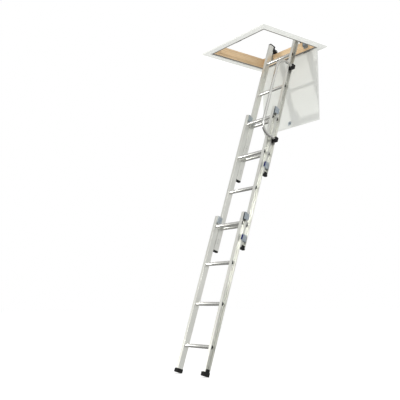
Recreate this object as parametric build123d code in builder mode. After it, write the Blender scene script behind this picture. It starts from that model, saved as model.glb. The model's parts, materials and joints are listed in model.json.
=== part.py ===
from build123d import *
import os
from math import cos, radians, sin

# A three-section sliding attic ladder in its ceiling hatch. Millimetres, +Z up.
# The origin is the centre of the hatch opening, in the plane of the ceiling.
# +X points from the climber to the hinge side of the hatch, +Y to the climber's left.

# ---------------------------------------------------------------- hatch sizes
opening_x = 530  # clear opening between the linings, front to back
opening_y = 572  # clear opening between the linings, side to side
lining_thickness = 16
lining_height = 80
lining_drop = 2  # how far the linings stand below the ceiling
architrave_width = 51
architrave_thickness = 10
architrave_bevel = 3
seal_thickness = 3
seal_joint = 0.1  # between the ends of two strips
lining_hole_radius = 2.5  # holes for the screws into the joists
lining_hole_span_x = 400
lining_hole_span_z = 40
frame_screw_radius = 2
frame_screw_length = 40
frame_screw_head_radius = 4
frame_screw_rise = 20  # from the lining's lower and upper edges

# ----------------------------------------------------------------- door sizes
door_thickness = 12
door_gap = 3  # all round, inside the architrave
door_corner_radius = 3
hinge_knuckle_radius = 5
hinge_pin_radius = 2.2
hinge_length = 70
hinge_leaf_width = 28
hinge_leaf_thickness = 2
hinge_spacing = 380
hinge_knuckles = 5
hinge_inset = 1  # hinge line, inside the lining's outer face
hinge_relief = 1  # round the knuckles, in the door's edge
latch_from_edge = 36
latch_spindle_radius = 4
latch_case_radius = 14
latch_flange = 2
latch_arm_reach = 22
latch_arm_width = 11
latch_arm_thickness = 3
keeper_length = 60
keeper_reach = 16
keeper_thickness = 2
keeper_lift = 6  # lip above the lining's lower edge

# --------------------------------------------------------------- ladder sizes
lean = 72  # degrees from the floor
rung_pitch = 290
rungs_per_section = 4
ladder_width = 315  # over the outer faces of the stiles
stile_depth = 42
stile_width = 24
stile_wall = 2
stile_lip = 5
stile_corner = 1.5
section_gap = 2.5
top_margin = 75  # from a lower section's last rung to its stile tops
bottom_margin = 170  # from a raised section's first rung to its stile ends
rung_radius = 13
rung_wall = 1.6
rung_groove_radius = 0.8
rung_grooves = 9
rung_groove_arc = 96  # degrees, about the top of the rung
flare_rise = 3.5  # swaged end, beyond the tube
bead_rise = 1.8
flare_thickness = 2.9
foot_reach = 187  # from the first rung to the sole
foot_height = 26
foot_depth = 52
foot_width = 31
foot_ribs = 7
foot_rib_pitch = 7
foot_rib_gap = 3
foot_rib_depth = 2.5
foot_corner = 4

# ------------------------------------------------ brackets, hooks and catches
running_clearance = 0.4  # between a hook and the lip that it grips
grip_wall = 3.6
grip_height = 4.1
plate_thickness = 2.5
pad_width = 18
bracket_length = 48
guide_from_end = 45  # from the stile's end to its guide bracket
shoe_inset = 7  # from the guide bracket's ends to its nylon shoe
cap_thickness = 10
cap_plug = 20
plug_clearance = 0.3
rivet_radius = 2.4
rivet_head_radius = 4.5
rivet_head_height = 2
rivet_edge = 9  # from a bracket's end to its first rivet
rivet_spacing = 18
catch_pivot_rise = 30  # above the shared rung
catch_pin_radius = 4
catch_pin_end = 2  # stands out past the hook plate
catch_plate_thickness = 4
catch_plate_inset = 5.5  # from the stile's inner face to a middle catch's plate
catch_plate_offset = 6  # the bottom catches' plates pass inside the middle catches'
catch_hub_radius = 10
catch_clearance = 0.4
catch_beak = 5

# ---------------------------------------------------------- handrail and pivot
rail_radius = 11
rail_wall = 1.5
rail_bend = 80
rail_forward = 146  # from the upper stile's centre to the rail
rail_low = 110  # lower leg, above the upper section's first rung
rail_length = 629  # between the legs
rail_out = 18  # from the stile's outer face to the rail's centre
clamp_height = 32
clamp_depth = 28
clamp_wall = 2.5
clamp_back = 2  # clamp centre, behind the stile's centre
pivot_rise = 16  # above the lining's upper edge
pivot_outward = 3  # behind the lining's inner face
pivot_back = 32  # behind the upper stile
pivot_above_rung = 150
pivot_boss_radius = 9
pivot_bolt_radius = 4
pivot_head_height = 5.5
pivot_head_size = 7.5
ear_radius = 14
ear_thickness = 4
ear_clearance = 0.5
ear_out = 14.5  # from the stile's outer face to the ear
bracket_plate_width = 40
bracket_plate_height = 62
bracket_plate_thickness = 3
shoe_half = 22
shoe_spine = 8
cap_lip = 11
fit_clearance = 0.05  # running fit of a pin in its hole

# -------------------------------------------------------------- worked out
outer_x = opening_x / 2 + lining_thickness
outer_y = opening_y / 2 + lining_thickness
lining_top = lining_height - lining_drop
seal_bottom = -lining_drop - seal_thickness
inner_face = ladder_width / 2 - stile_width
web_out = inner_face + stile_wall
outer_face = ladder_width / 2
lip_in = outer_face - stile_wall
plate_in = outer_face + running_clearance
plate_out = plate_in + plate_thickness
return_out = lip_in - running_clearance
return_in = return_out - grip_height
flare_radius = rung_radius + flare_rise
bead_radius = rung_radius + bead_rise
section_step = stile_depth + section_gap
half_depth = stile_depth / 2
inner_plate_in = inner_face - plate_thickness
pin_reach = web_out + 2 * stile_wall  # the catch pins end inside the bracket's pad

up_dir = Vector(cos(radians(lean)), 0, sin(radians(lean)))
back_dir = Vector(sin(radians(lean)), 0, -cos(radians(lean)))

# Sections, from the floor up: the rung that each starts at, how far back it
# stands, and where its stiles end, measured along the ladder from rung one.
bottom_back = 0
middle_back = section_step
upper_back = 2 * section_step
middle_first = 3 * rung_pitch
upper_first = 5 * rung_pitch
span = (rungs_per_section - 1) * rung_pitch
bottom_low = foot_height - foot_reach
bottom_high = span + top_margin
middle_low = middle_first - bottom_margin
middle_high = middle_first + span + top_margin
upper_low = upper_first - bottom_margin
pivot_up = upper_first + span + pivot_above_rung
pivot_depth = upper_back + half_depth + pivot_back
upper_high = pivot_up + shoe_half + plug_clearance + rivet_head_height
sections = {
    "bottom": (bottom_back, 0, bottom_low, bottom_high),
    "middle": (middle_back, middle_first, middle_low, middle_high),
    "upper": (upper_back, upper_first, upper_low, upper_high),
}

# The ladder's own frame hangs from the pivot: back, across and up the ladder.
pivot_point = Vector(opening_x / 2 + pivot_outward, 0, lining_top + pivot_rise)
ladder_origin = pivot_point - back_dir * pivot_depth - up_dir * pivot_up

os.makedirs("parts", exist_ok=True)


def on_ladder(back, across, up):
    """A point given in the ladder's frame."""
    return ladder_origin + back_dir * back + up_dir * up + Vector(0, across, 0)


def cross_plane(up):
    """Square across the stiles: local x is back, local y is +Y."""
    return Plane(origin=on_ladder(0, 0, up), x_dir=back_dir, z_dir=up_dir)


def side_plane(out):
    """Parallel to the right stile, facing right: local x is back, local y is up."""
    return Plane(origin=on_ladder(0, -out, 0), x_dir=back_dir, z_dir=(0, -1, 0))


def axis_plane(back, up):
    """Holds a cross rod's axis: local x is +Y, local y is up."""
    return Plane(origin=on_ladder(back, 0, up), x_dir=(0, 1, 0), z_dir=back_dir)


def strip(back_a, back_b, out_a, out_b, mode=Mode.ADD):
    """A rectangle in a cross plane, on the right-hand side of the ladder."""
    with Locations(((back_a + back_b) / 2, -(out_a + out_b) / 2)):
        Rectangle(abs(back_b - back_a), abs(out_b - out_a), mode=mode)


def grip(target, facing, plate_from):
    """The hook that runs on a stile's lip: facing 1 grips its back, -1 its front."""
    leg = target + facing * (half_depth - stile_lip - running_clearance)
    leg_inside = leg - facing * grip_wall
    tip = target + facing * (half_depth - stile_wall - running_clearance)
    strip(plate_from, leg_inside, plate_in, plate_out)
    strip(leg, leg_inside, return_in, plate_out)
    strip(tip, leg_inside, return_in, return_out)


# ===================================================================== HATCH
# Linings: the two side boards run through, the end boards fit between them.
with BuildPart() as lining_left:
    with BuildSketch(Plane.XY.offset(-lining_drop)):
        with Locations((0, opening_y / 2 + lining_thickness / 2)):
            Rectangle(2 * outer_x, lining_thickness)
    extrude(amount=lining_height)
    with BuildSketch(Plane.XZ.offset(-outer_y)):
        with Locations((0, lining_top / 2)):
            with GridLocations(lining_hole_span_x, lining_hole_span_z, 2, 2):
                Circle(lining_hole_radius)
        for end in (-1, 1):
            for rise in (frame_screw_rise, lining_height - frame_screw_rise):
                with Locations((end * (outer_x - lining_thickness / 2), rise - lining_drop)):
                    Circle(frame_screw_radius + fit_clearance)
    extrude(amount=lining_thickness, mode=Mode.SUBTRACT)
lining_left.part.label = "lining_left"
export_step(lining_left.part, "parts/lining_left.step")

with BuildPart() as lining_right:
    mirror(lining_left.part, about=Plane.XZ)
lining_right.part.label = "lining_right"
export_step(lining_right.part, "parts/lining_right.step")

bracket_screw_spots = [
    (-(outer_face + ear_out + ear_thickness + bracket_plate_width * share), lining_top - drop)
    for share, drop in ((0.3, 14), (0.75, 30), (0.3, 46))
]
keeper_screw_spots = [(-keeper_length / 3, 0), (keeper_length / 3, 0)]
keeper_up = keeper_lift + keeper_thickness + keeper_reach / 2

for board, end in (("lining_latch_side", -1), ("lining_hinge_side", 1)):
    with BuildPart() as lining_end:
        with BuildSketch(Plane.XY.offset(-lining_drop)):
            with Locations((end * (outer_x - lining_thickness / 2), 0)):
                Rectangle(lining_thickness, opening_y)
        extrude(amount=lining_height)
        for face in (-1, 1):
            with BuildSketch(Plane.XZ.offset(face * opening_y / 2)):
                for rise in (frame_screw_rise, lining_height - frame_screw_rise):
                    with Locations((end * (outer_x - lining_thickness / 2), rise - lining_drop)):
                        Circle(frame_screw_radius + fit_clearance)
            extrude(amount=-face * frame_screw_length, mode=Mode.SUBTRACT)
        with BuildSketch(Plane.YZ.offset(end * opening_x / 2)):
            if end > 0:
                for across, up in bracket_screw_spots:
                    with Locations((across, up), (-across, up)):
                        Circle(frame_screw_radius + fit_clearance)
            else:
                for across, up in keeper_screw_spots:
                    with Locations((across, keeper_up - lining_drop)):
                        Circle(frame_screw_radius + fit_clearance)
        extrude(amount=end * lining_thickness, mode=Mode.SUBTRACT)
    lining_end.part.label = board
    export_step(lining_end.part, f"parts/{board}.step")

# Architrave: four mitred pieces, flat against the ceiling.
trim_x = outer_x + architrave_width
trim_y = outer_y + architrave_width
mitres = {
    "architrave_latch_side": ((-outer_x, -outer_y), (-outer_x, outer_y), (-trim_x, trim_y), (-trim_x, -trim_y)),
    "architrave_hinge_side": ((outer_x, -outer_y), (outer_x, outer_y), (trim_x, trim_y), (trim_x, -trim_y)),
    "architrave_left": ((-outer_x, outer_y), (outer_x, outer_y), (trim_x, trim_y), (-trim_x, trim_y)),
    "architrave_right": ((-outer_x, -outer_y), (outer_x, -outer_y), (trim_x, -trim_y), (-trim_x, -trim_y)),
}
for label, corners in mitres.items():
    with BuildPart() as architrave:
        with BuildSketch(Plane.XY):
            with BuildLine():
                Polyline(*corners, close=True)
            make_face()
        extrude(amount=-architrave_thickness)
        lower = architrave.faces().sort_by(Axis.Z)[0]
        long_edges = lower.edges().sort_by(SortBy.LENGTH)[-2:]
        chamfer(long_edges, architrave_bevel)
    architrave.part.label = label
    export_step(architrave.part, f"parts/{label}.step")

# Draught seal: four strips, one under each lining.
with BuildPart() as draught_seal:
    with BuildSketch(Plane.XY.offset(seal_bottom)):
        for side in (-1, 1):
            with Locations((0, side * (outer_y - lining_thickness / 2))):
                Rectangle(2 * outer_x, lining_thickness)
            with Locations((side * (outer_x - lining_thickness / 2), 0)):
                Rectangle(lining_thickness, opening_y - 2 * seal_joint)
    extrude(amount=seal_thickness)
draught_seal.part.label = "draught_seal"
export_step(draught_seal.part, "parts/draught_seal.step")

# ====================================================================== DOOR
# The door hangs open. Its hinge line runs along Y under the architrave's edge.
hinge_x = outer_x - hinge_inset
hinge_z = -architrave_thickness - hinge_knuckle_radius
door_length = 2 * (outer_x - door_gap)
door_width = 2 * (outer_y - door_gap)
door_top = hinge_z - (hinge_x - (outer_x - door_gap))
attic_face_x = hinge_x - (seal_bottom - hinge_z)
room_face_x = attic_face_x + door_thickness
hinge_centres = (-hinge_spacing / 2, hinge_spacing / 2)
knuckle_length = hinge_length / hinge_knuckles
latch_z = door_top - door_length + latch_from_edge

with BuildPart() as door_panel:
    with BuildSketch(Plane.XY.offset(door_top - door_length)):
        with Locations((attic_face_x + door_thickness / 2, 0)):
            Rectangle(door_thickness, door_width)
    extrude(amount=door_length)
    fillet(door_panel.edges().filter_by(Axis.X), door_corner_radius)
    for centre in hinge_centres:
        with BuildSketch(Plane.XZ.offset(-centre - hinge_length / 2 - hinge_relief)):
            with Locations((hinge_x, hinge_z)):
                Circle(hinge_knuckle_radius + hinge_relief)
        extrude(amount=hinge_length + 2 * hinge_relief, mode=Mode.SUBTRACT)
    with BuildSketch(Plane.YZ.offset(attic_face_x)):
        with Locations((0, latch_z)):
            Circle(latch_case_radius / 2)
    extrude(amount=door_thickness, mode=Mode.SUBTRACT)
door_panel.part.label = "door_panel"
export_step(door_panel.part, "parts/door_panel.step")

with BuildPart() as door_hinge_frame_leaves:
    for centre in hinge_centres:
        with BuildSketch(Plane.XY.offset(-architrave_thickness)):
            with Locations((hinge_x + hinge_leaf_width / 2, centre)):
                Rectangle(hinge_leaf_width, hinge_length)
        extrude(amount=-hinge_leaf_thickness)
        for knuckle in range(hinge_knuckles):
            start = -hinge_length / 2 + knuckle * knuckle_length
            fixed = knuckle % 2 == 0
            if fixed:
                with BuildSketch(Plane.XZ.offset(-(centre + start))):
                    with Locations((hinge_x, hinge_z)):
                        Circle(hinge_knuckle_radius)
                extrude(amount=-knuckle_length + running_clearance)
            else:
                with BuildSketch(Plane.XZ.offset(-(centre + start) + running_clearance)):
                    with Locations((hinge_x, hinge_z)):
                        Circle(hinge_knuckle_radius + running_clearance)
                extrude(amount=-knuckle_length - running_clearance, mode=Mode.SUBTRACT)
        with BuildSketch(Plane.XZ.offset(-centre - hinge_length / 2)):
            with Locations((hinge_x, hinge_z)):
                Circle(hinge_pin_radius + fit_clearance)
        extrude(amount=hinge_length, mode=Mode.SUBTRACT)
door_hinge_frame_leaves.part.label = "door_hinge_frame_leaves"
export_step(door_hinge_frame_leaves.part, "parts/door_hinge_frame_leaves.step")

with BuildPart() as door_hinge_door_leaves:
    for centre in hinge_centres:
        with BuildSketch(Plane.YZ.offset(room_face_x)):
            with Locations((centre, hinge_z - hinge_leaf_width / 2)):
                Rectangle(hinge_length, hinge_leaf_width)
        extrude(amount=hinge_leaf_thickness)
        for knuckle in range(hinge_knuckles):
            start = -hinge_length / 2 + knuckle * knuckle_length
            fixed = knuckle % 2 == 0
            if fixed:
                with BuildSketch(Plane.XZ.offset(-(centre + start) + running_clearance)):
                    with Locations((hinge_x, hinge_z)):
                        Circle(hinge_knuckle_radius + running_clearance)
                extrude(amount=-knuckle_length - running_clearance, mode=Mode.SUBTRACT)
            else:
                with BuildSketch(Plane.XZ.offset(-(centre + start))):
                    with Locations((hinge_x, hinge_z)):
                        Circle(hinge_knuckle_radius)
                extrude(amount=-knuckle_length + running_clearance)
        with BuildSketch(Plane.XZ.offset(-centre - hinge_length / 2)):
            with Locations((hinge_x, hinge_z)):
                Circle(hinge_pin_radius + fit_clearance)
        extrude(amount=hinge_length, mode=Mode.SUBTRACT)
door_hinge_door_leaves.part.label = "door_hinge_door_leaves"
export_step(door_hinge_door_leaves.part, "parts/door_hinge_door_leaves.step")

with BuildPart() as door_hinge_pins:
    for centre in hinge_centres:
        with BuildSketch(Plane.XZ.offset(-centre - hinge_length / 2)):
            with Locations((hinge_x, hinge_z)):
                Circle(hinge_pin_radius)
        extrude(amount=hinge_length)
door_hinge_pins.part.label = "door_hinge_pins"
export_step(door_hinge_pins.part, "parts/door_hinge_pins.step")

# Latch: a case through the door, and a bolt that turns over the keeper's lip.
arm_lift = seal_thickness + keeper_lift + keeper_thickness + running_clearance
with BuildPart() as latch_case:
    for face, direction in ((attic_face_x, -1), (room_face_x, 1)):
        with BuildSketch(Plane.YZ.offset(face)):
            with Locations((0, latch_z)):
                Circle(latch_case_radius)
        extrude(amount=direction * latch_flange)
    with BuildSketch(Plane.YZ.offset(attic_face_x)):
        with Locations((0, latch_z)):
            Circle(latch_case_radius / 2)
    extrude(amount=door_thickness)
    with BuildSketch(Plane.YZ.offset(attic_face_x - latch_flange)):
        with Locations((0, latch_z)):
            Circle(latch_spindle_radius + fit_clearance)
    extrude(amount=door_thickness + 2 * latch_flange, mode=Mode.SUBTRACT)
latch_case.part.label = "latch_case"
export_step(latch_case.part, "parts/latch_case.step")

with BuildPart() as latch_bolt:
    with BuildSketch(Plane.YZ.offset(attic_face_x - arm_lift - latch_arm_thickness)):
        with Locations((0, latch_z)):
            Circle(latch_spindle_radius)
    extrude(amount=arm_lift + latch_arm_thickness + door_thickness + latch_flange)
    with BuildSketch(Plane.YZ.offset(attic_face_x - arm_lift - latch_arm_thickness)):
        with Locations((0, latch_z)):
            Circle(latch_arm_width / 2)
        with Locations((0, latch_z - latch_arm_reach / 2)):
            Rectangle(latch_arm_width, latch_arm_reach)
    extrude(amount=latch_arm_thickness)
    with BuildSketch(Plane.YZ.offset(room_face_x + latch_flange)):
        with Locations((0, latch_z)):
            Rectangle(latch_spindle_radius, 1)
    extrude(amount=-latch_flange, mode=Mode.SUBTRACT)
latch_bolt.part.label = "latch_bolt"
export_step(latch_bolt.part, "parts/latch_bolt.step")

with BuildPart() as latch_keeper:
    with BuildSketch(Plane.XZ.offset(-keeper_length / 2)):
        with Locations((-opening_x / 2 + keeper_thickness / 2, keeper_lift - lining_drop + keeper_reach / 2 + 1)):
            Rectangle(keeper_thickness, keeper_reach + 2)
        with Locations((-opening_x / 2 + keeper_reach / 2, keeper_lift - lining_drop + keeper_thickness / 2)):
            Rectangle(keeper_reach, keeper_thickness)
    extrude(amount=keeper_length)
    with BuildSketch(Plane.YZ.offset(-opening_x / 2)):
        for across, up in keeper_screw_spots:
            with Locations((across, keeper_up - lining_drop)):
                Circle(frame_screw_radius + fit_clearance)
    extrude(amount=keeper_thickness, mode=Mode.SUBTRACT)
latch_keeper.part.label = "latch_keeper"
export_step(latch_keeper.part, "parts/latch_keeper.step")

# ============================================================== PIVOT BRACKETS
ear_start = outer_face + ear_out
plate_x = opening_x / 2 - bracket_plate_thickness
with BuildPart() as pivot_bracket_right:
    with BuildSketch(Plane.XZ.offset(ear_start)):
        with Locations((pivot_point.X, pivot_point.Z)):
            Circle(ear_radius)
        with Locations((opening_x / 2 - ear_radius / 2, pivot_point.Z - bracket_plate_height / 2)):
            Rectangle(ear_radius, bracket_plate_height)
    extrude(amount=ear_thickness)
    with BuildSketch(Plane.XZ.offset(ear_start)):
        with Locations((plate_x + bracket_plate_thickness / 2, lining_top - bracket_plate_height / 2)):
            Rectangle(bracket_plate_thickness, bracket_plate_height)
    extrude(amount=ear_thickness + bracket_plate_width)
    with BuildSketch(Plane.XZ.offset(ear_start)):
        with Locations((pivot_point.X, pivot_point.Z)):
            Circle(pivot_bolt_radius + fit_clearance)
    extrude(amount=ear_thickness, mode=Mode.SUBTRACT)
    with BuildSketch(Plane.YZ.offset(plate_x)):
        for across, up in bracket_screw_spots:
            with Locations((across, up)):
                Circle(frame_screw_radius + fit_clearance)
    extrude(amount=ear_thickness, mode=Mode.SUBTRACT)
pivot_bracket_right.part.label = "pivot_bracket_right"
export_step(pivot_bracket_right.part, "parts/pivot_bracket_right.step")

with BuildPart() as pivot_bracket_left:
    mirror(pivot_bracket_right.part, about=Plane.XZ)
pivot_bracket_left.part.label = "pivot_bracket_left"
export_step(pivot_bracket_left.part, "parts/pivot_bracket_left.step")

# Screws: through the side linings, the pivot brackets and the keeper.
with BuildPart() as hatch_screws:
    for side in (-1, 1):
        for end in (-1, 1):
            for rise in (frame_screw_rise, lining_height - frame_screw_rise):
                spot = (end * (outer_x - lining_thickness / 2), rise - lining_drop)
                with BuildSketch(Plane.XZ.offset(-side * outer_y)):
                    with Locations(spot):
                        Circle(frame_screw_head_radius)
                extrude(amount=-side * rivet_head_height)
                with BuildSketch(Plane.XZ.offset(-side * outer_y)):
                    with Locations(spot):
                        Circle(frame_screw_radius)
                extrude(amount=side * frame_screw_length)
    for across, up in bracket_screw_spots:
        for side in (-1, 1):
            with BuildSketch(Plane.YZ.offset(plate_x)):
                with Locations((side * across, up)):
                    Circle(frame_screw_head_radius)
            extrude(amount=-rivet_head_height)
            with BuildSketch(Plane.YZ.offset(plate_x)):
                with Locations((side * across, up)):
                    Circle(frame_screw_radius)
            extrude(amount=bracket_plate_thickness + lining_thickness)
    for across, up in keeper_screw_spots:
        with BuildSketch(Plane.YZ.offset(-opening_x / 2 + keeper_thickness)):
            with Locations((across, keeper_up - lining_drop)):
                Circle(frame_screw_head_radius)
        extrude(amount=rivet_head_height)
        with BuildSketch(Plane.YZ.offset(-opening_x / 2 + keeper_thickness)):
            with Locations((across, keeper_up - lining_drop)):
                Circle(frame_screw_radius)
        extrude(amount=-keeper_thickness - lining_thickness)
hatch_screws.part.label = "hatch_screws"
export_step(hatch_screws.part, "parts/hatch_screws.step")

# ==================================================================== CRADLE
with BuildPart() as pivot_bolts:
    for side in (-1, 1):
        with BuildSketch(Plane.XZ.offset(side * (ear_start + ear_thickness + ear_clearance))):
            with Locations((pivot_point.X, pivot_point.Z)):
                RegularPolygon(pivot_head_size, 6)
        extrude(amount=side * pivot_head_height)
        with BuildSketch(Plane.XZ.offset(side * (ear_start + ear_thickness + ear_clearance))):
            with Locations((pivot_point.X, pivot_point.Z)):
                Circle(pivot_bolt_radius)
        extrude(amount=-side * (ear_thickness + 2 * shoe_half))
pivot_bolts.part.label = "pivot_bolts"
export_step(pivot_bolts.part, "parts/pivot_bolts.step")

stile_back = upper_back + half_depth
spine_front = stile_back + running_clearance
with BuildPart() as cradle_shoe_right:
    with BuildSketch(side_plane(inner_face)):
        with Locations((spine_front + shoe_spine / 2, pivot_up)):
            Rectangle(shoe_spine, 2 * shoe_half)
        with Locations((pivot_depth, pivot_up)):
            Circle(ear_radius)
        with Locations(((spine_front + pivot_depth) / 2, pivot_up)):
            Rectangle(pivot_depth - spine_front, 2 * (ear_radius - 2))
    extrude(amount=plate_out - inner_face)
    with BuildSketch(cross_plane(pivot_up - shoe_half)):
        grip(upper_back, 1, spine_front + shoe_spine)
        strip(stile_back - stile_lip, spine_front + shoe_spine, inner_plate_in, inner_face - plug_clearance)
        strip(spine_front, spine_front + shoe_spine, inner_plate_in, inner_face)
    extrude(amount=2 * shoe_half)
    with BuildSketch(side_plane(inner_face)):
        with Locations((pivot_depth, pivot_up)):
            Circle(pivot_boss_radius)
    extrude(amount=ear_start - ear_clearance - inner_face)
    with BuildSketch(side_plane(inner_plate_in)):
        with Locations((pivot_depth, pivot_up)):
            Circle(pivot_bolt_radius + fit_clearance)
    extrude(amount=ear_start - inner_plate_in, mode=Mode.SUBTRACT)
cradle_shoe_right.part.label = "cradle_shoe_right"
export_step(cradle_shoe_right.part, "parts/cradle_shoe_right.step")

with BuildPart() as cradle_shoe_left:
    mirror(cradle_shoe_right.part, about=Plane.XZ)
cradle_shoe_left.part.label = "cradle_shoe_left"
export_step(cradle_shoe_left.part, "parts/cradle_shoe_left.step")

# ================================================== STILES, RUNGS AND RIVETS
top_rivets = (-rivet_edge, -rivet_edge - rivet_spacing)
guide_rivets = (guide_from_end + rivet_edge, guide_from_end + bracket_length - rivet_edge)
bracket_rivets = {
    "bottom": [bottom_high + step for step in top_rivets],
    "middle": [middle_low + step for step in guide_rivets] + [middle_high + step for step in top_rivets],
    "upper": [upper_low + step for step in guide_rivets],
}
pin_ups = {"bottom": [span + catch_pivot_rise], "middle": [middle_first + span + catch_pivot_rise], "upper": []}
rail_ups = (upper_first + rail_low, upper_first + rail_low + rail_length)

for name, (back, first, low, high) in sections.items():
    rung_ups = [first + i * rung_pitch for i in range(rungs_per_section)]
    rivet_ups = list(bracket_rivets[name])
    if name == "upper":
        rivet_ups += [up + step * clamp_height / 4 for up in rail_ups for step in (-1, 1)]
    with BuildPart() as right_stile:
        with BuildSketch(cross_plane(low)) as profile:
            strip(back - half_depth, back + half_depth, inner_face, outer_face)
            strip(back - half_depth + stile_wall, back + half_depth - stile_wall, web_out, lip_in, Mode.SUBTRACT)
            strip(back - half_depth + stile_lip, back + half_depth - stile_lip, lip_in, outer_face, Mode.SUBTRACT)
            fillet(profile.vertices().group_by(Axis.Y)[-1], stile_corner)
        extrude(amount=high - low)
        with BuildSketch(side_plane(inner_face)):
            with Locations(*[(back, up) for up in rung_ups]):
                Circle(rung_radius + 2 * fit_clearance)
            with Locations(*[(back, up) for up in rivet_ups]):
                Circle(rivet_radius + fit_clearance)
            for up in pin_ups[name]:
                with Locations((back, up)):
                    Circle(catch_pin_radius + fit_clearance)
        extrude(amount=stile_wall, mode=Mode.SUBTRACT)
    right_stile.part.label = f"{name}_stile_right"
    export_step(right_stile.part, f"parts/{name}_stile_right.step")

    with BuildPart() as left_stile:
        mirror(right_stile.part, about=Plane.XZ)
    left_stile.part.label = f"{name}_stile_left"
    export_step(left_stile.part, f"parts/{name}_stile_left.step")

    for number, up in enumerate(rung_ups, start=1):
        bore = rung_radius - rung_wall
        bead_end = inner_face - fit_clearance
        flare_start = web_out + fit_clearance
        flare_end = flare_start + flare_thickness
        end_profile = [
            (bead_end - flare_thickness, rung_radius),
            (bead_end - flare_thickness / 2, bead_radius),
            (bead_end, bead_radius),
            (bead_end, rung_radius),
            (flare_start, rung_radius),
            (flare_start, flare_radius),
            (flare_end - 1, flare_radius),
            (flare_end, flare_radius - 1),
            (flare_end, bore + 1),
            (flare_end - 1, bore),
        ]
        with BuildPart() as rung:
            with BuildSketch(axis_plane(back, up)):
                with BuildLine():
                    Polyline(*end_profile, *[(-a, r) for a, r in reversed(end_profile)], close=True)
                make_face()
            revolve(axis=Axis(on_ladder(back, 0, up), (0, 1, 0)))
            with BuildSketch(side_plane(-(bead_end - 2 * flare_thickness))):
                with Locations((back, up)):
                    with PolarLocations(
                        rung_radius + rung_groove_radius / 2,
                        rung_grooves,
                        start_angle=180 - lean - rung_groove_arc / 2,
                        angular_range=rung_groove_arc,
                        endpoint=True,
                    ):
                        Circle(rung_groove_radius)
            extrude(amount=2 * (bead_end - 2 * flare_thickness), mode=Mode.SUBTRACT)
        rung.part.label = f"{name}_rung_{number}"
        export_step(rung.part, f"parts/{name}_rung_{number}.step")

    with BuildPart() as rivets:
        for up in rivet_ups:
            with BuildSketch(side_plane(inner_face)):
                with Locations((back, up)):
                    Circle(rivet_head_radius)
            extrude(amount=-rivet_head_height, taper=30)
            with BuildSketch(side_plane(inner_face)):
                with Locations((back, up)):
                    Circle(rivet_radius)
            extrude(amount=2 * stile_width / 3)
        mirror(about=Plane.XZ)
    rivets.part.label = f"{name}_rivets"
    export_step(rivets.part, f"parts/{name}_rivets.step")

# ============================================================ SECTION FITTINGS
# Top brackets: a saddle over each lower stile's top, hooked onto the next
# section's front flange.
for name, back, high in (("bottom", bottom_back, bottom_high), ("middle", middle_back, middle_high)):
    next_back = back + section_step
    low = high - bracket_length
    inner_reach = next_back - bead_radius - 2 * running_clearance
    rivet_ups = [high + step for step in top_rivets]
    with BuildPart() as top_brackets:
        with BuildSketch(cross_plane(low)):
            grip(next_back, -1, back - pad_width / 2)
            strip(back - pad_width / 2, back + pad_width / 2, web_out, plate_out)
            strip(back - pad_width / 2, inner_reach, inner_plate_in, inner_face - plug_clearance)
        extrude(amount=bracket_length - plate_thickness)
        with BuildSketch(cross_plane(high - plate_thickness)):
            strip(back - pad_width / 2, back + pad_width / 2, plate_in, plate_out)
            strip(back - pad_width / 2, back + pad_width / 2, inner_plate_in, inner_face - plug_clearance)
        extrude(amount=plate_thickness)
        with BuildSketch(cross_plane(high)):
            strip(back - pad_width / 2, back + pad_width / 2, inner_plate_in, plate_out)
        extrude(amount=plate_thickness)
        with BuildSketch(side_plane(inner_plate_in)):
            with Locations((back, high - top_margin + catch_pivot_rise)):
                Circle(catch_pin_radius + fit_clearance)
        extrude(amount=pin_reach + plug_clearance - inner_plate_in, mode=Mode.SUBTRACT)
        with BuildSketch(side_plane(inner_plate_in)):
            with Locations(*[(back, up) for up in rivet_ups]):
                Circle(rivet_head_radius + running_clearance)
        extrude(amount=plate_thickness, mode=Mode.SUBTRACT)
        with BuildSketch(side_plane(web_out)):
            with Locations(*[(back, up) for up in rivet_ups]):
                Circle(rivet_radius + fit_clearance)
        extrude(amount=2 * stile_width / 3, mode=Mode.SUBTRACT)
        mirror(about=Plane.XZ)
    top_brackets.part.label = f"{name}_top_brackets"
    export_step(top_brackets.part, f"parts/{name}_top_brackets.step")

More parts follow.
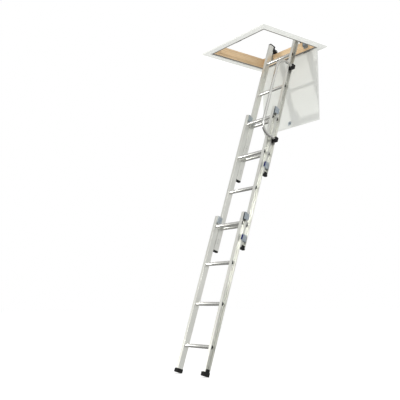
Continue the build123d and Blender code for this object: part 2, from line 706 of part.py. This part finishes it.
# Guide brackets: at each raised stile's foot, hooked by a nylon shoe onto the
# back flange of the section in front.
for name, back, low in (("middle", middle_back, middle_low), ("upper", upper_back, upper_low)):
    front_back = back - section_step
    start = low + guide_from_end
    leg = front_back + half_depth - stile_lip - running_clearance
    rivet_ups = [low + step for step in guide_rivets]
    with BuildPart() as guide_brackets:
        with BuildSketch(cross_plane(start)):
            strip(leg - grip_wall - plate_thickness, back + pad_width / 2, plate_in, plate_out)
            strip(back - pad_width / 2, back + pad_width / 2, web_out, plate_out)
        extrude(amount=bracket_length)
        with BuildSketch(cross_plane(start + shoe_inset)):
            strip(leg - grip_wall, leg, plate_in, plate_out)
        extrude(amount=bracket_length - 2 * shoe_inset, mode=Mode.SUBTRACT)
        with BuildSketch(side_plane(web_out)):
            with Locations(*[(back, up) for up in rivet_ups]):
                Circle(rivet_radius + fit_clearance)
        extrude(amount=2 * stile_width / 3, mode=Mode.SUBTRACT)
        mirror(about=Plane.XZ)
    guide_brackets.part.label = f"{name}_guide_brackets"
    export_step(guide_brackets.part, f"parts/{name}_guide_brackets.step")

    with BuildPart() as guide_shoes:
        with BuildSketch(cross_plane(start + shoe_inset)):
            strip(leg - grip_wall, leg, return_in, plate_out)
            strip(leg - grip_wall, leg + stile_lip - stile_wall, return_in, return_out)
            strip(leg - 2 * grip_wall, leg + grip_wall, plate_out, plate_out + 2)
        extrude(amount=bracket_length - 2 * shoe_inset)
        mirror(about=Plane.XZ)
    guide_shoes.part.label = f"{name}_guide_shoes"
    export_step(guide_shoes.part, f"parts/{name}_guide_shoes.step")

    with BuildPart() as end_caps:
        with BuildSketch(cross_plane(low)):
            strip(back - half_depth, back + half_depth, inner_face, outer_face)
        extrude(amount=-cap_thickness)
        with BuildSketch(cross_plane(low)):
            strip(
                back - half_depth + stile_wall + plug_clearance,
                back + half_depth - stile_wall - plug_clearance,
                web_out + plug_clearance,
                lip_in - plug_clearance,
            )
        extrude(amount=cap_plug)
        mirror(about=Plane.XZ)
    end_caps.part.label = f"{name}_end_caps"
    export_step(end_caps.part, f"parts/{name}_end_caps.step")

# Top caps: the lip at the back rests on the cradle shoe when the ladder is down.
with BuildPart() as top_caps:
    with BuildSketch(cross_plane(upper_high)):
        strip(upper_back - half_depth, stile_back + cap_lip, inner_face, outer_face)
    extrude(amount=cap_thickness)
    with BuildSketch(cross_plane(pivot_up + shoe_half + plug_clearance)):
        strip(spine_front, stile_back + cap_lip, inner_face, outer_face)
    extrude(amount=rivet_head_height + cap_thickness)
    with BuildSketch(cross_plane(upper_high - cap_plug)):
        strip(upper_back - pad_width / 2, upper_back + pad_width / 2, web_out + plug_clearance, return_in - 1)
    extrude(amount=cap_plug)
    mirror(about=Plane.XZ)
top_caps.part.label = "top_caps"
export_step(top_caps.part, "parts/top_caps.step")

# Feet: ribbed rubber blocks, plugged into the bottom section's stiles.
foot_back = half_depth + 1
foot_middle = (inner_face + outer_face) / 2
with BuildPart() as feet:
    with BuildSketch(cross_plane(bottom_low)):
        strip(
            foot_back - foot_depth,
            foot_back,
            foot_middle - foot_width / 2,
            foot_middle + foot_width / 2,
        )
    extrude(amount=-foot_height)
    fillet(feet.edges().filter_by(lambda edge: abs(edge.tangent_at(0.5).dot(up_dir)) > 0.99), foot_corner)
    with BuildSketch(cross_plane(bottom_low)):
        strip(
            -half_depth + stile_wall + plug_clearance,
            half_depth - stile_wall - plug_clearance,
            web_out + plug_clearance,
            lip_in - plug_clearance,
        )
    extrude(amount=cap_plug)
    with BuildSketch(side_plane(foot_middle - foot_width)):
        for rib in range(foot_ribs):
            with Locations((foot_back - (rib + 0.5) * foot_rib_pitch - foot_rib_gap / 2, bottom_low - foot_height)):
                Rectangle(foot_rib_gap, 2 * foot_rib_depth)
    extrude(amount=2 * foot_width, mode=Mode.SUBTRACT)
    mirror(about=Plane.XZ)
feet.part.label = "feet"
export_step(feet.part, "parts/feet.step")

# Catches: a hook plate on a short pin at each stile, dropped over the next section's rung.
recess = rung_radius + catch_clearance
hook_reach = section_step + recess + catch_beak
catches = (
    ("bottom", bottom_back, span, catch_plate_inset + catch_plate_offset),
    ("middle", middle_back, middle_first + span, catch_plate_inset),
)
for name, back, last, inset in catches:
    pin_up = last + catch_pivot_rise
    hook_in = inner_face - inset - catch_plate_thickness
    with BuildPart() as catch_plate:
        with BuildSketch(side_plane(hook_in)):
            with Locations((back, pin_up)):
                Circle(catch_hub_radius)
            with Locations((back + hook_reach / 2, last + recess + catch_beak)):
                Rectangle(hook_reach, 2 * catch_beak)
            with Locations((back + hook_reach - (recess + catch_beak) / 2, last + recess / 2)):
                Rectangle(recess + catch_beak, recess)
            with Locations((back + section_step, last)):
                Circle(recess, mode=Mode.SUBTRACT)
            with Locations((back, pin_up)):
                Circle(catch_pin_radius, mode=Mode.SUBTRACT)
        extrude(amount=catch_plate_thickness)
    with BuildPart() as catch_pin:
        with BuildSketch(side_plane(hook_in - catch_pin_end)):
            with Locations((back, pin_up)):
                Circle(catch_pin_radius)
        extrude(amount=pin_reach - hook_in + catch_pin_end)
    right_catch = Compound(label=f"{name}_catch_right", children=[catch_plate.part.solid(), catch_pin.part.solid()])
    export_step(right_catch, f"parts/{name}_catch_right.step")
    mirrored = [mirror(solid, about=Plane.XZ).solid() for solid in right_catch.solids()]
    left_catch = Compound(label=f"{name}_catch_left", children=mirrored)
    export_step(left_catch, f"parts/{name}_catch_left.step")

# ================================================================== HANDRAIL
rail_y = outer_face + rail_out
leg_end = upper_back + clamp_back + clamp_depth / 2 - clamp_wall
rail_front = upper_back - rail_forward
with BuildPart() as handrail:
    with BuildLine(side_plane(rail_y)) as rail_path:
        FilletPolyline(
            (leg_end, rail_ups[0]),
            (rail_front, rail_ups[0]),
            (rail_front, rail_ups[1]),
            (leg_end, rail_ups[1]),
            radius=rail_bend,
        )
    with BuildSketch(Plane(origin=on_ladder(leg_end, -rail_y, rail_ups[0]), z_dir=-back_dir)):
        Circle(rail_radius)
        Circle(rail_radius - rail_wall, mode=Mode.SUBTRACT)
    sweep(path=rail_path.wires()[0])
handrail.part.label = "handrail"
export_step(handrail.part, "parts/handrail.step")

clamp_in = plate_out + plug_clearance + 2
clamp_centre = upper_back + clamp_back
with BuildPart() as handrail_clamps:
    for up in rail_ups:
        with BuildSketch(cross_plane(up - clamp_height / 2)):
            strip(
                clamp_centre - clamp_depth / 2,
                clamp_centre + clamp_depth / 2,
                clamp_in,
                rail_y + rail_radius + clamp_wall,
            )
        extrude(amount=clamp_height)
        with BuildSketch(cross_plane(up - clamp_height / 2)):
            strip(upper_back - pad_width / 2, upper_back + pad_width / 2, web_out, clamp_in)
        extrude(amount=clamp_height)
        with BuildSketch(Plane(origin=on_ladder(leg_end, -rail_y, up), z_dir=-back_dir)):
            Circle(rail_radius + fit_clearance)
        extrude(amount=clamp_depth, mode=Mode.SUBTRACT)
        with BuildSketch(side_plane(web_out)):
            with Locations((upper_back, up - clamp_height / 4), (upper_back, up + clamp_height / 4)):
                Circle(rivet_radius + fit_clearance)
        extrude(amount=2 * stile_width / 3, mode=Mode.SUBTRACT)
handrail_clamps.part.label = "handrail_clamps"
export_step(handrail_clamps.part, "parts/handrail_clamps.step")
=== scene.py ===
"""Looks of the three-section sliding attic ladder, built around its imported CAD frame. Metres."""

import json
from math import radians

import bmesh
import bpy
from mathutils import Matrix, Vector


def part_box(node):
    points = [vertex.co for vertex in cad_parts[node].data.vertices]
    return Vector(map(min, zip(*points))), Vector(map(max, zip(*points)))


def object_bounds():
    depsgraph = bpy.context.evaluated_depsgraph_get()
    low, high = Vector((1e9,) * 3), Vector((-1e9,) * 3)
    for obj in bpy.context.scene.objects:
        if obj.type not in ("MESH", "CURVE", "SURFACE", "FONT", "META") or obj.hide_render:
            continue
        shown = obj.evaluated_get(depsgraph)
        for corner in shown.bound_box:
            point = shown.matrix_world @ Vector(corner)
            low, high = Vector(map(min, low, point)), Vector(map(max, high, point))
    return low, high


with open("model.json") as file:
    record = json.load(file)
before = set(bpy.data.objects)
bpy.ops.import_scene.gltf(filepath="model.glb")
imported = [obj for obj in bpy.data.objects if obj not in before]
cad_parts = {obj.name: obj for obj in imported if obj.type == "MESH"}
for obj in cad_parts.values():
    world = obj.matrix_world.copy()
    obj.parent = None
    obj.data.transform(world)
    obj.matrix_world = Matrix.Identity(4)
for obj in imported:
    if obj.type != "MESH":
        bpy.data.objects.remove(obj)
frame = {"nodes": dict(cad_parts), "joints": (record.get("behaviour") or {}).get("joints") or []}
cad_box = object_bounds()

MM = 0.001
X, Y, Z = 0, 1, 2
WHITE = (1, 1, 1, 1)
nodes = frame["nodes"]
joints = {joint["name"]: joint for joint in frame["joints"]}
ladder_axis = Vector(joints["upper_slide"]["axis"]).normalized()
lean = Vector((0, 0, 1)).angle(ladder_axis)


def scaled(tone, factor):
    return tuple(channel * factor for channel in tone)


# ------------------------------------------------------------ node helpers
class Graph:
    """A node tree under construction."""

    def __init__(self, tree):
        self.tree = tree

    def add(self, kind, **options):
        node = self.tree.nodes.new(f"ShaderNode{kind}")
        for name, value in options.items():
            setattr(node, name, value)
        return node

    def link(self, source, target):
        self.tree.links.new(source, target)

    def ranged(self, value, low, high, from_low=0.3, from_high=0.7):
        node = self.add("MapRange")
        self.link(value, node.inputs["Value"])
        node.inputs["From Min"].default_value = from_low
        node.inputs["From Max"].default_value = from_high
        node.inputs["To Min"].default_value = low
        node.inputs["To Max"].default_value = high
        return node.outputs["Result"]

    def ramp(self, value, *stops):
        node = self.add("ValToRGB")
        self.link(value, node.inputs["Fac"])
        elements = node.color_ramp.elements
        while len(elements) < len(stops):
            elements.new(0.5)
        for element, (position, colour) in zip(elements, stops):
            element.position = position
            element.color = (*colour, 1)
        return node.outputs["Color"]

    def mixed(self, factor, first, second, blend="MIX"):
        node = self.add("Mix", data_type="RGBA", blend_type=blend)
        sockets = (node.inputs["Factor"], node.inputs[6], node.inputs[7])
        for socket, value in zip(sockets, (factor, first, second)):
            if isinstance(value, (int, float)):
                socket.default_value = value
            elif isinstance(value, tuple):
                socket.default_value = (*value, 1)
            else:
                self.link(value, socket)
        return node.outputs[2]


class Finish(Graph):
    """A material: its node tree and its Principled shader."""

    def __init__(self, name):
        self.material = bpy.data.materials.new(name)
        self.material.use_nodes = True
        super().__init__(self.material.node_tree)
        self.shader = self.tree.nodes["Principled BSDF"]
        self.place = self.add("TexCoord").outputs["Object"]

    def set(self, **sockets):
        for name, value in sockets.items():
            self.shader.inputs[name.replace("_", " ")].default_value = value

    def stretched(self, scale, turn=(0, 0, 0)):
        """Object coordinates, turned and then scaled, so that grain can run along a board."""
        where = self.place
        for step, value in (("Rotation", turn), ("Scale", scale)):
            mapping = self.add("Mapping", vector_type="POINT")
            mapping.inputs[step].default_value = value
            self.link(where, mapping.inputs["Vector"])
            where = mapping.outputs["Vector"]
        return where

    def noise(self, where, scale=1.0, detail=4.0, roughness=0.55):
        node = self.add("TexNoise")
        self.link(where, node.inputs["Vector"])
        node.inputs["Scale"].default_value = scale
        node.inputs["Detail"].default_value = detail
        node.inputs["Roughness"].default_value = roughness
        return node.outputs["Fac"]

    def worn_edges(self, radius=1.2, amount=0.8):
        """High close to an edge, and broken up, as where a sliding part has been rubbed."""
        rounded = self.add("Bevel", samples=4)
        rounded.inputs["Radius"].default_value = radius * MM
        flat = self.add("NewGeometry")
        agreement = self.add("VectorMath", operation="DOT_PRODUCT")
        self.link(rounded.outputs["Normal"], agreement.inputs[0])
        self.link(flat.outputs["Normal"], agreement.inputs[1])
        edge = self.ranged(agreement.outputs["Value"], amount, 0, 0.8, 0.98)
        patchy = self.add("Math", operation="MULTIPLY")
        self.link(edge, patchy.inputs[0])
        self.link(self.ranged(self.noise(self.place, scale=70, detail=3), 0.25, 1), patchy.inputs[1])
        return patchy.outputs["Value"]

    def painted_corner_shade(self, reach, depth):
        """Low in a piece's own inner corners: painted shade, darkening its recesses and the channel
        corners under its lips.
        """
        corner_occlusion = self.add("AmbientOcclusion", samples=6, only_local=True)
        corner_occlusion.inputs["Distance"].default_value = reach * MM
        return self.ranged(corner_occlusion.outputs["AO"], depth, 1, 0.35, 0.8)

    def colour(self, source):
        self.link(source, self.shader.inputs["Base Color"])

    def gloss(self, source):
        self.link(source, self.shader.inputs["Roughness"])

    def bump(self, height, strength, distance):
        node = self.add("Bump")
        node.inputs["Strength"].default_value = strength
        node.inputs["Distance"].default_value = distance
        self.link(height, node.inputs["Height"])
        self.link(node.outputs["Normal"], self.shader.inputs["Normal"])


# --------------------------------------------------------------- materials
# Colours are linear. A stretch is the texture's scale along X, Y and Z, per metre.
SPANGLE = ((0.32, 0.37, 0.41), (0.44, 0.49, 0.53), (0.56, 0.60, 0.63))
PINE_RINGS = (
    (0.0, (0.86, 0.65, 0.40)),
    (0.55, (0.82, 0.59, 0.34)),
    (0.85, (0.70, 0.45, 0.22)),
    (1.0, (0.78, 0.54, 0.29)),
)
PINE_PALE = (0.89, 0.70, 0.46)
PINE_PORE = (0.50, 0.29, 0.12)
PINE_RUBBED = (0.86, 0.66, 0.43)


def aluminium(name, tone, stretch, turn, rough=(0.3, 0.44), bare=0.72):
    """Extruded mill-finish aluminium: die lines run the way that the texture is stretched."""
    finish = Finish(name)
    finish.set(Metallic=bare)
    lines = finish.noise(finish.stretched(stretch, turn), detail=5, roughness=0.6)
    cloud = finish.noise(finish.place, scale=9, detail=3)
    base = finish.mixed(finish.ranged(cloud, 0, 1), tone, scaled(tone, 0.88))
    base = finish.mixed(finish.ranged(lines, 0, 0.35, 0.35, 0.65), base, scaled(tone, 0.8))
    bright = tuple(min(1, channel) for channel in scaled(tone, 1.15))
    rubbed = finish.mixed(finish.worn_edges(), base, bright)
    # painted shade: the colour is darkened in the piece's own inner corners and recesses
    finish.colour(finish.mixed(1.0, rubbed, finish.painted_corner_shade(9, 0.45), "MULTIPLY"))
    finish.gloss(finish.ranged(lines, *rough))
    finish.bump(lines, 0.25, 0.15 * MM)
    return finish.material


def grain(across, along, axis):
    """A stretch of `along` on the long `axis`, and of `across` on the other two."""
    return tuple(along if k == axis else across for k in (X, Y, Z))


def wood(name, axis):
    """Planed pine, sealed: growth rings and pores stretched along the board."""
    finish = Finish(name)
    finish.set(Coat_Weight=0.12, Coat_Roughness=0.35)
    rings = finish.add("TexWave", wave_type="BANDS", bands_direction="Z")
    finish.link(finish.stretched(grain(14, 1.1, axis)), rings.inputs["Vector"])
    rings.inputs["Scale"].default_value = 1.6
    rings.inputs["Distortion"].default_value = 5.5
    rings.inputs["Detail"].default_value = 3
    rings.inputs["Detail Scale"].default_value = 0.7
    pores = finish.noise(finish.stretched(grain(900, 14, axis)), detail=2)
    figure = finish.noise(finish.stretched(grain(14, 1.1, axis)), scale=1.7, detail=3)
    tone = finish.ramp(rings.outputs["Fac"], *PINE_RINGS)
    tone = finish.mixed(finish.ranged(figure, 0, 0.55), tone, PINE_PALE)
    tone = finish.mixed(finish.ranged(pores, 0, 0.4, 0.55, 0.8), tone, PINE_PORE)
    finish.colour(finish.mixed(finish.worn_edges(), tone, PINE_RUBBED))
    finish.gloss(finish.ranged(figure, 0.42, 0.6))
    finish.bump(pores, 0.3, 0.2 * MM)
    return finish.material


def paint(name, tone, shade, brush, rough, axis):
    """Satin paint: brush or roller marks, and slightly greyer where it has gathered dust."""
    finish = Finish(name)
    finish.set(Specular_IOR_Level=0.45)
    strokes = finish.noise(finish.stretched(grain(brush, brush / 30, axis)), detail=3)
    cloud = finish.noise(finish.place, scale=4.5, detail=4)
    finish.colour(finish.mixed(finish.ranged(cloud, 0, 1), tone, shade))
    finish.gloss(finish.ranged(strokes, *rough))
    finish.bump(strokes, 0.18, 0.12 * MM)
    return finish.material


def zinc(name, level=1.0):
    """Galvanised sheet steel: spangle in flat grey-blue crystals, bright at the cut edges."""
    finish = Finish(name)
    finish.set(Metallic=1.0)
    spangle = finish.add("TexVoronoi", feature="F1")
    finish.link(finish.place, spangle.inputs["Vector"])
    spangle.inputs["Scale"].default_value = 170
    facet = finish.add("SeparateColor")
    finish.link(spangle.outputs["Color"], facet.inputs["Color"])
    cloud = finish.noise(finish.place, scale=30, detail=4)
    crystals = [scaled(tone, level) for tone in SPANGLE]
    tone = finish.ramp(facet.outputs["Red"], *zip((0.0, 0.5, 1.0), crystals))
    tone = finish.mixed(finish.ranged(cloud, 0, 0.5), tone, crystals[0])
    finish.colour(finish.mixed(finish.worn_edges(), tone, scaled((0.7, 0.7, 0.7), level)))
    finish.gloss(finish.ranged(facet.outputs["Green"], 0.3, 0.46, 0, 1))
    finish.bump(cloud, 0.15, 0.1 * MM)
    return finish.material


def steel(name):
    """Turned, zinc-plated screws and pins, with machining marks and a warm passivated cast."""
    finish = Finish(name)
    finish.set(Metallic=1.0)
    marks = finish.noise(finish.place, scale=900, detail=3)
    cloud = finish.noise(finish.place, scale=120, detail=2)
    tone = finish.mixed(finish.ranged(cloud, 0, 1), (0.50, 0.50, 0.48), (0.36, 0.35, 0.33))
    finish.colour(finish.mixed(finish.worn_edges(), tone, (0.72, 0.72, 0.70)))
    finish.gloss(finish.ranged(marks, 0.26, 0.42))
    finish.bump(marks, 0.15, 0.05 * MM)
    return finish.material


def moulded(name, tone, pale, rough=(0.42, 0.58), texture=1400, depth=0.08 * MM):
    """Moulded plastic or rubber: a fine eroded texture, paler where it has been rubbed."""
    finish = Finish(name)
    finish.set(Specular_IOR_Level=0.22)
    erosion = finish.noise(finish.place, scale=texture, detail=2)
    cloud = finish.noise(finish.place, scale=45, detail=4)
    base = finish.mixed(finish.ranged(cloud, 0, 0.6), tone, pale)
    finish.colour(finish.mixed(finish.worn_edges(), base, pale))
    finish.gloss(finish.ranged(cloud, *rough))
    finish.bump(erosion, 0.5, depth)
    return finish.material


upright = (0, 0, 0)
leaning = (0, -lean, 0)
along_ladder = (700, 700, 6)
along_rungs = (900, 7, 900)
ungrained = (500, 500, 500)
deep = 0.2 * MM
slot_finishes = {
    "stile_aluminium": aluminium("stile_finish", (0.78, 0.785, 0.735), along_ladder, leaning),
    "rung_aluminium": aluminium("rung_finish", (0.76, 0.76, 0.73), along_rungs, upright, (0.2, 0.32), 0.9),
    "rail_aluminium": aluminium(
        "rail_finish", (0.70, 0.70, 0.67), along_ladder, leaning, (0.12, 0.22), 1.0
    ),
    "rivet_aluminium": aluminium("rivet_finish", (0.62, 0.62, 0.60), ungrained, upright, (0.28, 0.42)),
    "trim_white": paint("trim_paint", (0.89, 0.90, 0.865), (0.83, 0.84, 0.805), 320, (0.32, 0.5), Y),
    "door_white": paint("door_laminate", (0.775, 0.79, 0.755), (0.745, 0.76, 0.725), 190, (0.36, 0.48), Z),
    "zinc_steel": zinc("zinc_plate"),
    "screw_steel": steel("plated_screw"),
    "black_plastic": moulded("black_nylon", (0.004, 0.004, 0.0045), (0.016, 0.016, 0.017)),
    "navy_nylon": moulded("navy_nylon_finish", (0.004, 0.005, 0.085), (0.012, 0.015, 0.15), (0.34, 0.5)),
    "foot_rubber": moulded(
        "foot_rubber_finish", (0.006, 0.006, 0.006), (0.028, 0.028, 0.027), (0.65, 0.85), 900, deep
    ),
    "seal_rubber": moulded("seal_foam", (0.20, 0.19, 0.175), (0.28, 0.27, 0.25), (0.7, 0.9), 1800, deep),
}
pine_along_x = wood("pine_front_to_back", X)
pine_along_y = wood("pine_side_to_side", Y)
hinge_zinc = zinc("dark_zinc_plate", 0.14)
node_finishes = {
    "lining_left": pine_along_x,
    "lining_right": pine_along_x,
    "lining_hinge_side": pine_along_y,
    "lining_latch_side": pine_along_y,
    "door_hinge_door_leaves": hinge_zinc,
    "door_hinge_frame_leaves": hinge_zinc,
}
# painted shade: near-black for the inside of the rung tubes, where the hole is unlit
bore_painted_shade = moulded("rung_bore_painted_shade", (0.010, 0.010, 0.010), (0.03, 0.03, 0.028), (0.6, 0.8))

# ----------------------------------------------------------- CAD node looks
edge_radius = {  # millimetres
    "stile_aluminium": 0.6,
    "rung_aluminium": 0.25,
    "rail_aluminium": 0.3,
    "rivet_aluminium": 0.4,
    "trim_white": 0.8,
    "door_white": 0.7,
    "zinc_steel": 0.5,
    "screw_steel": 0.4,
    "black_plastic": 1.0,
    "navy_nylon": 0.6,
    "foot_rubber": 1.2,
    "seal_rubber": 0.8,
    "lining_wood": 0.9,
}
sharp_edge = radians(38)
weld_distance = 0.005 * MM
flare_reach = 4.4 * MM  # from a rung's swaged rim in to its bore


def soften(piece, radius):
    """Rounds a CAD mesh's sharp edges, so that they catch the light as real ones do."""
    weld = piece.modifiers.new("weld", "WELD")
    weld.merge_threshold = weld_distance
    bevel = piece.modifiers.new("bevel", "BEVEL")
    bevel.width = radius * MM
    bevel.segments = 2
    bevel.limit_method = "ANGLE"
    bevel.angle_limit = sharp_edge
    bevel.use_clamp_overlap = True


def paint_bore_shade(rung):
    """Paints the inside of a rung's tube near-black: painted shade for the unlit hole behind its open
    ends.
    """
    low, high = (Vector(corner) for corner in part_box(rung.name))
    centre = (low + high) / 2
    bore_radius = (high.z - low.z) / 2 - flare_reach
    rung.data.materials.append(bore_painted_shade)
    for face in rung.data.polygons:
        across = face.center - centre
        across.y = 0
        if across.length < bore_radius:
            face.material_index = 1


for name, node in nodes.items():
    slot = node.data.materials[0].name
    node.data.materials[0] = node_finishes.get(name) or slot_finishes[slot]
    if slot == "rung_aluminium":
        # the bore faces get the painted shade
        paint_bore_shade(node)
    soften(node, edge_radius[slot])


# -------------------------------------------------------------------- stage
floor_reach = 30
ceiling_margin = 0.1  # beyond the architrave
ceiling_thickness = 0.0125
ceiling_gap = 0.2 * MM  # over the architrave's back


def stage_piece(name, mesh, glow, shine):
    """Pale scenery that the camera sees, and that changes no light on the ladder."""
    piece = bpy.data.objects.new(name, mesh)
    bpy.context.scene.collection.objects.link(piece)
    finish = Finish(name)
    finish.set(Base_Color=(0.9, 0.9, 0.9, 1), Roughness=0.9, Specular_IOR_Level=shine)
    finish.set(Emission_Color=WHITE, Emission_Strength=glow)
    mesh.materials.append(finish.material)
    piece.visible_diffuse = False
    piece.visible_glossy = False
    piece.visible_shadow = False


def rectangle(reach_x, reach_y):
    return [(-reach_x, -reach_y), (reach_x, -reach_y), (reach_x, reach_y), (-reach_x, reach_y)]


def floor_mesh():
    mesh = bpy.data.meshes.new("floor")
    level = cad_box[0].z
    corners = [(x, y, level) for x, y in rectangle(floor_reach, floor_reach)]
    mesh.from_pydata(corners, [], [(0, 1, 2, 3)])
    return mesh


def ceiling_mesh():
    """The plasterboard that the hatch is let into, cut close round the linings."""
    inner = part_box("lining_left")[1]
    outer = cad_box[1] + Vector((ceiling_margin, ceiling_margin, 0))
    shape = bmesh.new()
    rings = []
    for reach in (inner, outer):
        for level in (ceiling_gap, ceiling_thickness):
            rings.append([shape.verts.new((x, y, level)) for x, y in rectangle(reach.x, reach.y)])
    for first, second in ((0, 1), (1, 3), (3, 2), (2, 0)):
        for k in range(4):
            m = (k + 1) % 4
            shape.faces.new((rings[first][k], rings[first][m], rings[second][m], rings[second][k]))
    bmesh.ops.recalc_face_normals(shape, faces=shape.faces)
    mesh = bpy.data.meshes.new("ceiling_board")
    shape.to_mesh(mesh)
    shape.free()
    return mesh


stage_piece("floor", floor_mesh(), 0.42, 0.0)
stage_piece("ceiling_board", ceiling_mesh(), 0.35, 0.5)

# ------------------------------------------------------------------- lights
KEY_DIRECTION = Vector((0.819, -0.559, 0.129))  # throws the rungs' shadows on the door
KEY_COLOUR = (1, 0.985, 0.95)
FILL_DIRECTION = Vector((0.393, 0.78, -0.481))  # reaches into the near stiles' channels
FILL_SPREAD = radians(50)


def area_light(name, target, direction, distance, size, power):
    """A square softbox that shines along `direction` onto `target`."""
    light = bpy.data.lights.new(name, "AREA")
    light.shape = "RECTANGLE"
    light.size = light.size_y = size
    light.energy = power
    lamp = bpy.data.objects.new(name, light)
    bpy.context.scene.collection.objects.link(lamp)
    lamp.location = target - direction.normalized() * distance
    lamp.rotation_euler = direction.to_track_quat("-Z", "Y").to_euler()
    return light


door_low, door_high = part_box("door_panel")
key = area_light("key", (door_low + door_high) / 2, KEY_DIRECTION, 7.0, 0.3, 125)
key.color = KEY_COLOUR
middle = (cad_box[0] + cad_box[1]) / 2
feet_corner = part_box("feet")[1]
fill = area_light("fill", middle.lerp(feet_corner, 0.35), FILL_DIRECTION, 4.5, 1.4, 7.5)
fill.spread = FILL_SPREAD

# The studio round the ladder is white to the camera, an even dome to matt surfaces, and a
# set of panels to shiny ones. Heights run from straight down (0) to straight up (1).
LEFT_PANEL = ((0.0, 0.06), (0.35, 0.15), (0.5, 0.42), (0.6, 0.64), (0.75, 0.58), (1.0, 0.85))
RIGHT_PANEL = ((0.0, 0.25), (0.40, 0.66), (0.5, 0.70), (0.62, 0.70), (0.75, 1.0), (1.0, 1.0))
DOME = ((0.0, 1.12), (0.45, 0.80), (0.6, 0.66), (1.0, 0.66))
BLACK_FLAG = Vector((0.6, 0.78, 0.156)).normalized()  # behind the ladder, for dark outlines
FLAG_EDGE = 0.66
FLAG_CORE = 0.93
FLAG_LEVEL = 0.06

world = bpy.data.worlds.new("studio")
bpy.context.scene.world = world
world.use_nodes = True
world.node_tree.nodes.clear()
sky = Graph(world.node_tree)
direction = sky.add("TexCoord").outputs["Generated"]
parts = sky.add("SeparateXYZ")
sky.link(direction, parts.inputs["Vector"])
height = sky.ranged(parts.outputs["Z"], 0, 1, -1, 1)


def by_height(levels):
    return sky.ramp(height, *((position, (level,) * 3) for position, level in levels))


def background(colour=None):
    node = sky.add("Background")
    node.inputs["Color"].default_value = WHITE
    if colour is not None:
        sky.link(colour, node.inputs["Color"])
    return node.outputs["Background"]


def chosen(ray, yes, no):
    """The background `yes` for rays of the kind `ray`, and `no` for the rest."""
    node = sky.add("MixShader")
    sky.link(ray, node.inputs["Fac"])
    sky.link(no, node.inputs[1])
    sky.link(yes, node.inputs[2])
    return node.outputs["Shader"]


towards_flag = sky.add("VectorMath", operation="DOT_PRODUCT")
sky.link(direction, towards_flag.inputs[0])
towards_flag.inputs[1].default_value = BLACK_FLAG
flag = sky.ranged(towards_flag.outputs["Value"], 1, FLAG_LEVEL, FLAG_EDGE, FLAG_CORE)
leftness = sky.ranged(parts.outputs["Y"], 0, 1, -0.3, 0.3)
panels = sky.mixed(leftness, by_height(RIGHT_PANEL), by_height(LEFT_PANEL))
reflected = sky.mixed(1.0, panels, flag, "MULTIPLY")
rays = sky.add("LightPath").outputs
lighting = chosen(rays["Is Glossy Ray"], background(reflected), background(by_height(DOME)))
studio = chosen(rays["Is Camera Ray"], background(), lighting)
sky.link(studio, sky.add("OutputWorld").inputs["Surface"])

# ------------------------------------------------------------------- camera
lens = bpy.data.cameras.new("camera")
lens.lens = 58.07
lens.sensor_width = 36
lens.clip_end = 100
camera = bpy.data.objects.new("camera", lens)
bpy.context.scene.collection.objects.link(camera)
camera.location = (-3.2733, -3.4669, -1.9242)
camera.rotation_euler = (radians(98.9975), 0, radians(-37.4403))
bpy.context.scene.camera = camera

bpy.context.scene.view_settings.view_transform = "Standard"
